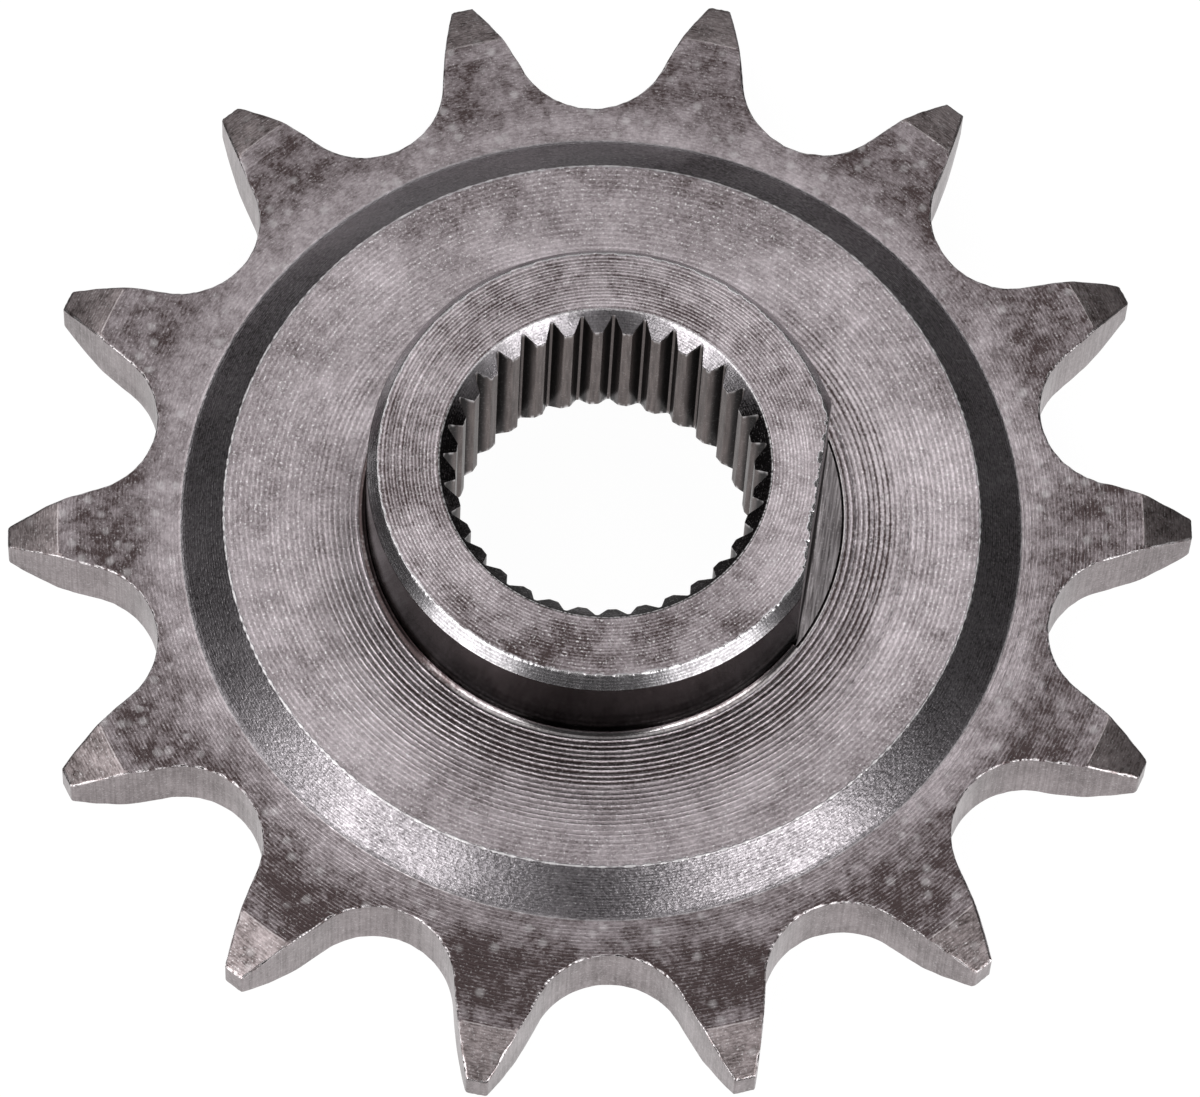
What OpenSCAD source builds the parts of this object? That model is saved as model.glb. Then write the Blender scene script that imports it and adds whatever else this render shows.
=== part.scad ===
// Chain sprocket for a drive shaft: a turned disc with hobbed teeth, a raised plateau,
// a boss with one milled flat, and a splined bore that runs right through.
// The axis is Z, the back of the rim lies at Z = 0 and a tooth gap points along +Y.

/* [Chain] */
// Distance from one roller of the chain to the next
chain_pitch = 15.875; // [15:0.005:19.05]
// Diameter of the chain's rollers
roller_d = 10.16; // [9:0.01:11.6]

/* [Teeth] */
// Number of teeth
teeth = 14; // [13:1:24]
// Play between a roller and its seat
seat_play = 0.23; // [0.05:0.01:0.5]
// Half of the angle that a roller's seat covers
seat_half_angle = 62; // [54:1:66]
// Radius of the convex flanks above the seat
flank_r = 44; // [22:1:90]
// Height of the tooth tips above the pitch circle
tip_reach = 3.73; // [2.6:0.01:4.4]
// Thickness of the toothed rim
rim_t = 5.8; // [4.8:0.1:8]
// Thickness left at the tooth tips
tip_t = 2.7; // [1.4:0.1:4.2]
// Width of the bevels on both sides of the teeth
bevel_w = 3.35; // [1.5:0.05:5]

/* [Plateau] */
// Diameter of the plateau's sharp edge
plateau_d = 50.1; // [40:0.1:54]
// Height of that edge above the rim
plateau_h = 2.35; // [1:0.05:4]
// Width of the cone that falls from the edge to the rim
cone_w = 2.8; // [1:0.05:3.4]
// Depth of the plateau's dish at the foot of the boss
dish_depth = 0.23; // [0.05:0.01:0.8]

/* [Boss] */
// Diameter of the boss
boss_d = 31.24; // [28:0.02:36]
// Height of the boss above the rim
boss_h = 10.8; // [6:0.1:16]
// Width of the turned chamfer round the boss's end
boss_chamfer_w = 0.64; // [0.2:0.02:1.2]
// Height of that chamfer
boss_chamfer_h = 1.12; // [0.4:0.02:2]
// Fillet at the foot of the boss
foot_fillet = 0.5; // [0.2:0.05:1]

/* [Milled flat] */
// Distance from the axis to the flat on the boss
flat_reach = 14; // [12.6:0.1:15]
// Direction of the flat, turned from +X
flat_turn = -9.7; // [-180:0.1:180]
// Height of the milled floor above the foot of the boss
floor_step = 0.08; // [0.02:0.01:0.3]

/* [Splined bore] */
// Number of spline teeth
spline_teeth = 32; // [24:1:40]
// Diameter inside the spline's teeth
spline_minor_d = 19.6; // [18:0.1:20.6]
// Depth of the spline's grooves
spline_depth = 0.82; // [0.4:0.02:1.1]
// Width of a spline tooth at its crest
crest_w = 0.6; // [0.4:0.02:0.9]
// Width of a groove at its root
root_w = 0.2; // [0.1:0.02:0.4]
// Direction of one groove, turned from +Y
spline_turn = -4; // [-6:0.1:6]
// Width of the lead-in chamfer, measured from the crests
lead_in_w = 1.08; // [0.6:0.02:1.6]
// Depth of the lead-in chamfer
lead_in_h = 1.34; // [0.6:0.02:2]

/* [Back] */
// Diameter of the recess in the back of the hub
recess_d = 32; // [26:0.5:44]
// Depth of that recess
recess_depth = 1.8; // [0.5:0.1:2.4]

/* [Hidden] */
$fn = 120;
steel = [0.55, 0.53, 0.53];
// How far a cutter runs past the face that it cuts
overrun = 1;

// The pitch circle and what stands on it
pitch_r = chain_pitch / (2 * sin(180 / teeth));
seat_r = roller_d / 2 + seat_play;
tip_r = pitch_r + tip_reach;
bevel_r = tip_r - bevel_w;
bevel_drop = (rim_t - tip_t) / 2;

// Heights of the faces above the back
plateau_z = rim_t + plateau_h;
foot_z = plateau_z - dish_depth;
top_z = rim_t + boss_h;

// Radii of the turned surfaces
plateau_r = plateau_d / 2;
boss_r = boss_d / 2;
foot_r = boss_r + foot_fillet;

// The spline's two circles and half the width of a groove where it meets the inner one
minor_r = spline_minor_d / 2;
major_r = minor_r + spline_depth;
groove_half_w = (2 * PI * minor_r / spline_teeth - crest_w) / 2;

// One gap between two teeth, pointing along +Y: a round seat on the pitch circle,
// widened outwards between two convex flanks that leave the seat without a kink
module tooth_gap() {
    seat_end = [seat_r * sin(seat_half_angle), pitch_r - seat_r * cos(seat_half_angle)];
    flank_x = (seat_r + flank_r) * sin(seat_half_angle);
    flank_y = pitch_r - (seat_r + flank_r) * cos(seat_half_angle);
    mouth_y = tip_r + overrun;
    mouth_x = flank_x - sqrt(pow(flank_r, 2) - pow(mouth_y - flank_y, 2)) + overrun;
    translate([0, pitch_r]) circle(r = seat_r);
    difference() {
        polygon([
            [0, pitch_r],
            seat_end,
            [mouth_x, mouth_y],
            [-mouth_x, mouth_y],
            [-seat_end[0], seat_end[1]]
        ]);
        for (side = [-1, 1])
            translate([side * flank_x, flank_y]) circle(r = flank_r, $fn = 360);
    }
}

// Outline of the disc seen along the axis, with flat tips left between the gaps
module tooth_outline() {
    difference() {
        circle(r = tip_r, $fn = 360);
        for (i = [0:teeth - 1])
            rotate(i * 360 / teeth) tooth_gap();
    }
}

// Half section of the turned blank, with the radius along X and the height along Y
module blank_section() {
    polygon([
        [0, recess_depth],
        [recess_d / 2, recess_depth],
        [recess_d / 2, 0],
        [bevel_r, 0],
        [tip_r, bevel_drop],
        [tip_r, rim_t - bevel_drop],
        [bevel_r, rim_t],
        [plateau_r + cone_w, rim_t],
        [plateau_r, plateau_z],
        [foot_r, foot_z],
        [boss_r, foot_z],
        [boss_r, top_z - boss_chamfer_h],
        [boss_r - boss_chamfer_w, top_z],
        [0, top_z]
    ]);
    foot_section();
}

// Fillet between the boss and the dished plateau
module foot_section() {
    difference() {
        translate([foot_r, foot_z] - foot_fillet * [2, 1]) square(2 * foot_fillet);
        translate([foot_r, foot_z + foot_fillet]) circle(r = foot_fillet);
    }
}

// Outline of the splined hole: a circle through the crests with a groove between each two teeth
module spline_outline() {
    slope = (groove_half_w - root_w / 2) / spline_depth;
    inner_half_w = groove_half_w + slope * overrun / 2;
    circle(r = minor_r);
    for (i = [0:spline_teeth - 1])
        rotate(spline_turn + i * 360 / spline_teeth)
            polygon([
                [-inner_half_w, minor_r - overrun / 2],
                [inner_half_w, minor_r - overrun / 2],
                [root_w / 2, major_r],
                [-root_w / 2, major_r]
            ]);
}

// Cutter for a lead-in chamfer that opens along +Z from the height z
module lead_in(z) {
    slope = lead_in_w / lead_in_h;
    translate([0, 0, z - lead_in_h])
        cylinder(h = lead_in_h + overrun, r1 = minor_r, r2 = minor_r + slope * (lead_in_h + overrun));
}

// The bore with its spline and a lead-in chamfer at each end
module splined_bore() {
    translate([0, 0, -overrun])
        linear_extrude(height = top_z + 2 * overrun) spline_outline();
    lead_in(top_z);
    mirror([0, 0, 1]) lead_in(-recess_depth);
}

// What the mill takes off the boss: all that lies beyond the flat, down to its floor
module flat_cutter() {
    floor_z = foot_z + floor_step;
    rotate(flat_turn)
        intersection() {
            translate([flat_reach, -foot_r, floor_z]) cube([foot_r, 2 * foot_r, top_z]);
            translate([0, 0, floor_z - overrun]) cylinder(h = top_z, r = foot_r);
        }
}

module sprocket() {
    color(steel)
        difference() {
            intersection() {
                rotate_extrude($fn = 240) blank_section();
                linear_extrude(height = top_z) tooth_outline();
            }
            splined_bore();
            flat_cutter();
        }
}

sprocket();
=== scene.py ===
"""Looks of the chain sprocket: one closed surface in turned, hobbed, milled and broached steel."""

from __future__ import annotations

import logging
import math
from dataclasses import dataclass, field
from enum import IntEnum

import bpy
import numpy as np
from mathutils import Matrix, Vector


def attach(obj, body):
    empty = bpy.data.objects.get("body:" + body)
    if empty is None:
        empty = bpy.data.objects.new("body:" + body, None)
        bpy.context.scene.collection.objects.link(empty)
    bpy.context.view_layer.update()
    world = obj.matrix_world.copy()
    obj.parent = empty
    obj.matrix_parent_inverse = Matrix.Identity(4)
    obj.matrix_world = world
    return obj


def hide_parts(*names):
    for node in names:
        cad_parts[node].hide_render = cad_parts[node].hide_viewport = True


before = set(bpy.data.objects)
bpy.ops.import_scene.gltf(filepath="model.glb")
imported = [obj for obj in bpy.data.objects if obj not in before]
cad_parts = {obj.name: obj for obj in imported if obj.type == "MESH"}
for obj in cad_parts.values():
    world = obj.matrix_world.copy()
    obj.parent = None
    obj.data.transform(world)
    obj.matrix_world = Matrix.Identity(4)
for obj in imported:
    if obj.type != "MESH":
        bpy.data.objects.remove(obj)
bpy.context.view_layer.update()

LOG = logging.getLogger("sprocket")
MM = 0.001
Colour = tuple[float, float, float]
Span = tuple[float, float]
Pairs = tuple[Span, ...]
WHITE = (1.0, 1.0, 1.0, 1.0)

# Waves of the drawn-out noise round the axis and along the radius
LAY_ROUND = 85.0
LAY_ACROSS = 8.0


class Zone(IntEnum):
    """The finishes of the surface; the value is the material's place in the mesh."""

    RIM = 0
    BEVEL = 1
    TOOTH_WALL = 2
    BACK = 3
    RECESS = 4
    LEAD_IN = 5
    SPLINE = 6
    BOSS_END = 7
    CHAMFER = 8
    BOSS_WALL = 9
    MILLED = 10
    PLATEAU = 11
    CONE = 12
    FILLET = 13


# Shapes


def waves(angle: np.ndarray, seed: int, lowest: int, highest: int, count: int = 40) -> np.ndarray:
    """Random waviness round a ring: a sum of sines of whole orders, each with its own phase.

    Args:
        angle: angles in radians.
        seed: seed of the random draws.
        lowest: lowest number of waves round the ring.
        highest: highest number of waves round the ring.
        count: how many sines are added.

    Returns:
        Values of about unit spread, one per angle.
    """
    draw = np.random.default_rng(seed)
    orders = draw.integers(lowest, highest + 1, count)
    phases = draw.uniform(0.0, 2.0 * np.pi, count)
    return np.sin(np.outer(angle, orders) + phases).sum(1) / math.sqrt(count / 2)


def bezier(start: np.ndarray, corner: np.ndarray, end: np.ndarray, steps: int) -> np.ndarray:
    """Rounds a corner: (1-s)^2 start + 2s(1-s) corner + s^2 end, for s from 0 to 1.

    Args:
        start: where the rounding begins.
        corner: the sharp corner that it replaces.
        end: where the rounding ends.
        steps: number of steps between the two.

    Returns:
        The points from start to end, one row each.
    """
    s = np.linspace(0.0, 1.0, steps + 1)[:, None]
    return (1 - s) ** 2 * start + 2 * s * (1 - s) * corner + s**2 * end


@dataclass(frozen=True)
class Repeat:
    """Half of a repeated outline in polar form, from the middle of a gap to the middle of a tooth."""

    radius: np.ndarray
    angle: np.ndarray
    copies: int
    first_axis: float

    @classmethod
    def from_points(cls, points: np.ndarray, copies: int, first_axis: float) -> Repeat:
        """Makes a repeat from points with the gap's axis along +Y.

        Args:
            points: half of the outline, one point a row.
            copies: number of copies round the axis.
            first_axis: direction of the first gap's axis, in radians.

        Returns:
            The repeat.
        """
        radius = np.hypot(points[:, 0], points[:, 1])
        return cls(radius, np.arctan2(points[:, 0], points[:, 1]), copies, first_axis)

    def ring(self, shift: int, columns: int) -> tuple[np.ndarray, np.ndarray]:
        """Unrolls the outline round the whole ring: each half is followed by its mirror image.

        Args:
            shift: column on which the first gap's axis lies.
            columns: number of columns in the ring.

        Returns:
            Radius and azimuth of each column.
        """
        pitch = 2 * np.pi / self.copies
        radius = np.concatenate([self.radius[:-1], self.radius[:0:-1]])
        angle = np.concatenate([self.angle[:-1], pitch - self.angle[:0:-1]])
        column = np.arange(columns) - shift
        turn, place = np.divmod(column, len(radius))
        return radius[place], self.first_axis + turn * pitch + angle[place]


@dataclass(frozen=True)
class ToothForm:
    """Outline of the teeth for a roller chain, in millimetres and degrees."""

    pitch: float = 15.875
    roller_d: float = 10.16
    teeth: int = 14
    seat_play: float = 0.23
    seat_half_angle: float = 62.0
    flank_r: float = 44.0
    tip_reach: float = 3.73
    corner_cut: float = 0.16
    seat_steps: int = 22
    flank_steps: int = 17
    corner_steps: int = 4
    tip_steps: int = 5

    @property
    def pitch_r(self) -> float:
        """Radius of the pitch circle."""
        return self.pitch / (2 * math.sin(math.pi / self.teeth))

    @property
    def tip_r(self) -> float:
        """Radius of the tips."""
        return self.pitch_r + self.tip_reach

    def repeat(self) -> Repeat:
        """Half of a gap: a seat arc about the pitch point, then a flank arc and the tip arc.

        Returns:
            The half outline as a repeat whose first axis is +Y.
        """
        seat_r = self.roller_d / 2 + self.seat_play
        end = math.radians(self.seat_half_angle)
        reach = seat_r + self.flank_r
        centre = np.array([reach * math.sin(end), self.pitch_r - reach * math.cos(end)])
        far = float(np.hypot(*centre))
        across = (self.tip_r**2 - far**2 - self.flank_r**2) / (2 * self.flank_r)
        tip_turn = math.acos(across / far) - math.atan2(centre[0], centre[1])

        def flank(turn: np.ndarray) -> np.ndarray:
            """Points of the flank arc: its centre plus its radius along the turned axis."""
            return centre + self.flank_r * np.stack([-np.sin(turn), np.cos(turn)], 1)

        corner = flank(np.array([tip_turn]))[0]
        tip_start = math.atan2(corner[0], corner[1])
        turns = np.linspace(end, tip_turn + self.corner_cut / self.flank_r, self.flank_steps + 1)
        tip_first = tip_start + self.corner_cut / self.tip_r
        tips = np.linspace(tip_first, math.pi / self.teeth, self.tip_steps + 1)
        arc = np.linspace(0.0, end, self.seat_steps + 1)
        seat = np.stack([seat_r * np.sin(arc), self.pitch_r - seat_r * np.cos(arc)], 1)
        side = flank(turns)
        tip = self.tip_r * np.stack([np.sin(tips), np.cos(tips)], 1)
        rounding = bezier(side[-1], corner, tip[0], self.corner_steps)
        points = np.concatenate([seat[:-1], side[:-1], rounding[:-1], tip])
        return Repeat.from_points(points, self.teeth, math.pi / 2)


@dataclass(frozen=True)
class SplineForm:
    """Outline of the splined bore, in millimetres and degrees."""

    grooves: int = 32
    minor_d: float = 19.6
    depth: float = 0.82
    crest_w: float = 0.6
    root_w: float = 0.2
    turn: float = -4.0
    root_cut: float = 0.05
    crest_cut: float = 0.09
    root_steps: int = 2
    root_corner_steps: int = 3
    flank_steps: int = 9
    crest_corner_steps: int = 4
    crest_steps: int = 3

    @property
    def minor_r(self) -> float:
        """Radius of the circle through the crests."""
        return self.minor_d / 2

    @property
    def major_r(self) -> float:
        """Radius of the circle through the roots."""
        return self.minor_r + self.depth

    def repeat(self) -> Repeat:
        """Half of a groove: a flat root, a straight flank and the crest arc, with rounded corners.

        Returns:
            The half outline as a repeat whose first axis is the groove beside +Y.
        """
        half = (math.pi * self.minor_d / self.grooves - self.crest_w) / 2
        top = np.array([half, math.sqrt(self.minor_r**2 - half**2)])
        foot = np.array([self.root_w / 2, self.major_r])
        along = (top - foot) / np.hypot(*(top - foot))
        steps = np.linspace(0.0, foot[0] - self.root_cut, self.root_steps + 1)
        root = np.stack([steps, np.full_like(steps, self.major_r)], 1)
        low, high = foot + along * self.root_cut, top - along * self.crest_cut
        flank = np.linspace(low, high, self.flank_steps + 1)
        start = math.atan2(top[0], top[1]) + self.crest_cut / self.minor_r
        turns = np.linspace(start, math.pi / self.grooves, self.crest_steps + 1)
        crest = self.minor_r * np.stack([np.sin(turns), np.cos(turns)], 1)
        lower = bezier(root[-1], foot, flank[0], self.root_corner_steps)
        upper = bezier(flank[-1], top, crest[0], self.crest_corner_steps)
        points = np.concatenate([root[:-1], lower[:-1], flank[:-1], upper[:-1], crest])
        return Repeat.from_points(points, self.grooves, math.pi / 2 + math.radians(self.turn))


@dataclass
class Loops:
    """Loops round the axis, one after another along the section, that are joined into one closed surface."""

    columns: int
    points: list[np.ndarray] = field(default_factory=list)
    zones: list[np.ndarray] = field(default_factory=list)
    wear: list[np.ndarray] = field(default_factory=list)

    def add(
        self, radius: object, azimuth: np.ndarray, height: object, zone: object, wear: object = 0.0
    ) -> None:
        """Adds a loop at x = r cos a, y = r sin a, z = height.

        Args:
            radius: radius of each column, or one for all.
            azimuth: azimuth of each column.
            height: height of each column, or one for all.
            zone: finish of the strip from this loop to the next, per column or for all.
            wear: how worn the edge is at this loop, from 0 to 1, per column or for all; at the cone's foot it
            stands for a painted highlight.
        """
        full = np.ones(self.columns)
        r = full * radius
        self.points.append(np.stack([r * np.cos(azimuth), r * np.sin(azimuth), full * height], 1))
        self.zones.append(np.broadcast_to(np.asarray(zone, dtype=np.int32), (self.columns,)))
        self.wear.append(full * wear)

    @property
    def even(self) -> np.ndarray:
        """Evenly spread azimuths, one for each column, from +Y on."""
        return math.pi / 2 + np.arange(self.columns) * 2 * np.pi / self.columns

    def ring(self, radius: object, height: object, zone: object, wear: object = 0.0) -> None:
        """Adds a loop of evenly spread columns; the other values are those of add."""
        self.add(radius, self.even, height, zone, wear)

    def mesh(self, name: str) -> bpy.types.Mesh:
        """Joins the loops into quads, the last loop to the first, with normals weighted by area.

        Args:
            name: name of the mesh.

        Returns:
            The mesh, in metres.
        """
        p = np.stack(self.points) * MM
        rows, cols = p.shape[:2]
        index = np.arange(rows * cols).reshape(rows, cols)
        below, beside = np.roll(index, -1, 0), np.roll(index, -1, 1)
        corner = np.roll(below, -1, 1)
        quads = np.stack([index, below, corner, beside], -1).reshape(-1, 4)
        flat = p.reshape(-1, 3)
        area = np.cross(flat[quads[:, 2]] - flat[quads[:, 0]], flat[quads[:, 3]] - flat[quads[:, 1]])
        middle = flat[quads].mean(1)
        if (area * middle).sum() < 0:
            quads, area = quads[:, ::-1], -area
        normals = np.zeros_like(flat)
        for k in range(4):
            np.add.at(normals, quads[:, k], area)
        normals /= np.linalg.norm(normals, axis=1, keepdims=True)
        made = bpy.data.meshes.new(name)
        made.from_pydata(flat, [], quads)
        made.polygons.foreach_set("material_index", np.concatenate(self.zones).astype(np.int32))
        made.polygons.foreach_set("use_smooth", np.ones(len(quads), dtype=bool))
        worn = made.attributes.new("wear", "FLOAT", "POINT")
        worn.data.foreach_set("value", np.concatenate(self.wear).astype(np.float32))
        made.normals_split_custom_set_from_vertices(normals)
        made.update()
        return made


@dataclass(frozen=True)
class Toothing:
    """The toothed rim with its bevels: heights of both faces and the rounded edge between face and wall."""

    form: ToothForm = field(default_factory=ToothForm)
    rim_t: float = 5.8
    tip_t: float = 2.7
    bevel_w: float = 3.35
    bevel_swell: float = 0.07
    inner_r: float = 28.6
    turned_r: float = 29.8
    turned_share: float = 0.75
    collar: float = 0.20
    edge: float = 0.13
    edge_spread: float = 0.06
    edge_least: float = 0.035
    edge_turns: Pairs = ((0.0, 0.0), (0.6, 1.0), (1.1, 0.9), (math.pi / 2, 0.0))
    crease: Pairs = ((0.0, 0.0), (0.07, 0.4), (0.15, 0.0))
    crease_gap: float = 0.05
    crease_reach: float = 0.25
    face_shares: tuple[float, ...] = (0.33, 0.67, 1.0)
    seeds: tuple[int, int] = (11, 12)

    @property
    def bevel_r(self) -> float:
        """Radius on which the bevels begin."""
        return self.form.tip_r - self.bevel_w

    def drop(self, radius: np.ndarray) -> np.ndarray:
        """How far a face lies below the rim's face: a straight bevel with a slight swell in its middle."""
        share = np.clip((radius - self.bevel_r) / self.bevel_w, 0.0, 1.0)
        return share * (self.rim_t - self.tip_t) / 2 - 4 * self.bevel_swell * share * (1 - share)

    def face(self, loops: Loops, upper: bool) -> None:
        """Adds one face of the rim: the one in view outwards to the wall, the back from the wall inwards.

        Each column runs from the even spacing of the turned part to its own point on the collar, a line
        parallel to the outline. The crease where the bevel begins, the face's shares up to the collar and
        the turns of the rounded edge follow.

        Args:
            loops: the loops to add to.
            upper: True for the face in view, False for the back.
        """
        even = loops.even
        radius, azimuth = self.form.repeat().ring(0, loops.columns)
        x, y = radius * np.cos(azimuth), radius * np.sin(azimuth)
        along = np.stack([np.roll(x, -1) - np.roll(x, 1), np.roll(y, -1) - np.roll(y, 1)], 1)
        along /= np.linalg.norm(along, axis=1, keepdims=True)
        out = np.stack([along[:, 1], -along[:, 0]], 1)
        seed = self.seeds[0] if upper else self.seeds[1]
        ragged = 0.6 * waves(even, seed, 60, 420) + 0.5 * waves(even, seed + 20, 8, 60)
        width = np.clip(self.edge + self.edge_spread * ragged, self.edge_least, 0.95 * self.collar)
        face_zone = Zone.RIM if upper else Zone.BACK
        steps: list[tuple[np.ndarray, np.ndarray, np.ndarray, object, object]] = []

        def level(r: np.ndarray, sunk: np.ndarray | float) -> np.ndarray:
            """Height of a point on this side: the face's own height less what the rounding sinks it by."""
            height = self.rim_t - self.drop(r) - sunk
            return height if upper else self.rim_t - height

        def inward(moved: np.ndarray | float) -> tuple[np.ndarray, np.ndarray]:
            """Moves the outline's points into the metal, each at right angles to the outline.

            Args:
                moved: how far each point is moved.

            Returns:
                Radius and azimuth of the moved points.
            """
            px, py = x - out[:, 0] * moved, y - out[:, 1] * moved
            turned = np.arctan2(py, px) - azimuth
            return np.hypot(px, py), azimuth + np.angle(np.exp(1j * turned))

        def edge_point(turn: float) -> tuple[np.ndarray, np.ndarray, np.ndarray]:
            """A point of the rounded edge: moved in by w (1 - sin t) and down by w (1 - cos t)."""
            r, a = inward(width * (1 - math.sin(turn)))
            return r, a, level(r, width * (1 - math.cos(turn)))

        collar_r, collar_a = inward(self.collar)

        def ray(r: np.ndarray | float) -> np.ndarray:
            """Azimuth on a column's line, which turns quickly up to turned_r and slowly up to the collar.

            Args:
                r: radius on each column, or one for all.

            Returns:
                The azimuth on each column.
            """
            early = np.clip((r - self.inner_r) / (self.turned_r - self.inner_r), 0.0, 1.0)
            late = np.clip((r - self.turned_r) / (collar_r - self.turned_r), 0.0, 1.0)
            share = self.turned_share * early + (1 - self.turned_share) * late
            return even + (collar_a - even) * share

        crease_r = np.minimum(self.bevel_r, collar_r - self.crease_gap)
        plain = np.full_like(even, level(np.array(0.0), 0.0))
        for r in (self.inner_r, self.turned_r):
            steps.append((np.full_like(even, r), ray(r), plain, face_zone, 0.0))
        slope_zone = np.where(collar_r > self.bevel_r, Zone.BEVEL, face_zone)
        near = crease_r - self.crease_gap
        creased = collar_r > self.bevel_r + self.collar
        for offset, worn in self.crease:
            reach = near + np.minimum(offset, (collar_r - near) * offset / self.crease_reach)
            steps.append((reach, ray(reach), level(reach, 0.0), slope_zone, worn * creased))
        for share in self.face_shares:
            r = reach + (collar_r - reach) * share
            steps.append((r, ray(r), level(r, 0.0), slope_zone, 0.0))
        strength = np.clip(0.55 + 0.45 * waves(even, seed + 40, 150, 500), 0.0, 1.0)
        for turn, worn in self.edge_turns:
            r, a, z = edge_point(turn)
            steps.append((r, a, z, slope_zone, worn * strength))
        if not upper:
            steps = steps[::-1]
        for place, (r, a, z, zone, worn) in enumerate(steps):
            last = place == len(steps) - 1
            strip = Zone.TOOTH_WALL if (upper and last) else zone
            if not upper:
                strip = steps[place + 1][3] if not last else Zone.BACK
            loops.add(r, a, z, strip, worn)


@dataclass(frozen=True)
class Bore:
    """The splined bore with a lead-in chamfer at each end."""

    form: SplineForm = field(default_factory=SplineForm)
    lead_in_w: float = 1.08
    lead_in_h: float = 1.34
    shift: int = -15
    soft: float = 0.05
    lip_out: float = 0.10
    lip_drop: float = 0.02
    lip_in: float = 0.07
    lip_edge: float = 0.01
    levels: int = 4
    seed: int = 71

    @property
    def mouth_r(self) -> float:
        """Radius of the chamfer's mouth."""
        return self.form.minor_r + self.lead_in_w

    def climb(self, loops: Loops, low: float, high: float) -> None:
        """Adds the bore from its lower mouth to its upper one.

        The chamfer meets the spline where its cone, whose radius grows by lead_in_w over lead_in_h,
        reaches the spline's own radius in that direction.

        Args:
            loops: the loops to add to.
            low: height of the lower mouth.
            high: height of the upper mouth.
        """
        even = loops.even
        radius, azimuth = self.form.repeat().ring(self.shift, loops.columns)
        deep = (self.mouth_r - radius) * self.lead_in_h / self.lead_in_w
        slope = self.lead_in_w / self.lead_in_h
        burr = np.clip(0.5 + 0.5 * waves(even, self.seed, 40, 300), 0.0, 1.0)
        blend = azimuth + 0.5 * (even - azimuth)

        def mouth(face: float, up: float) -> None:
            """Adds three loops of the mouth's rounded rim, in the order in which the section runs.

            Args:
                face: height of the face that the mouth opens in.
                up: 1 where the mouth opens upwards and -1 where it opens downwards.
            """
            rim = [
                (self.mouth_r + self.lip_out, even, face, 0.0),
                (self.mouth_r + self.lip_edge, even, face - up * self.lip_drop, 0.8),
                (self.mouth_r - self.lip_in, blend, face - up * self.lip_in / slope, 0.0),
            ]
            if up < 0:
                for r, a, z, worn in rim:
                    loops.add(r, a, z, Zone.LEAD_IN, worn * burr)
            else:
                for r, a, z, worn in rim[::-1]:
                    strip = Zone.LEAD_IN if worn or a is blend else Zone.BOSS_END
                    loops.add(r, a, z, strip, worn * (0.4 + 0.6 * burr))

        mouth(low, -1.0)
        bottom, top = low + deep, high - deep
        cone = radius + self.soft * slope
        loops.add(cone, azimuth, bottom - self.soft, Zone.LEAD_IN)
        loops.add(radius, azimuth, bottom + self.soft * 0.4, Zone.SPLINE, 0.5 * burr)
        for share in np.linspace(0.06, 0.94, self.levels):
            loops.add(radius, azimuth, bottom + (top - bottom) * share, Zone.SPLINE)
        loops.add(radius, azimuth, top - self.soft * 0.4, Zone.LEAD_IN, 0.16 + 0.24 * burr)
        loops.add(cone, azimuth, top + self.soft, Zone.LEAD_IN)
        mouth(high, 1.0)


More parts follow.
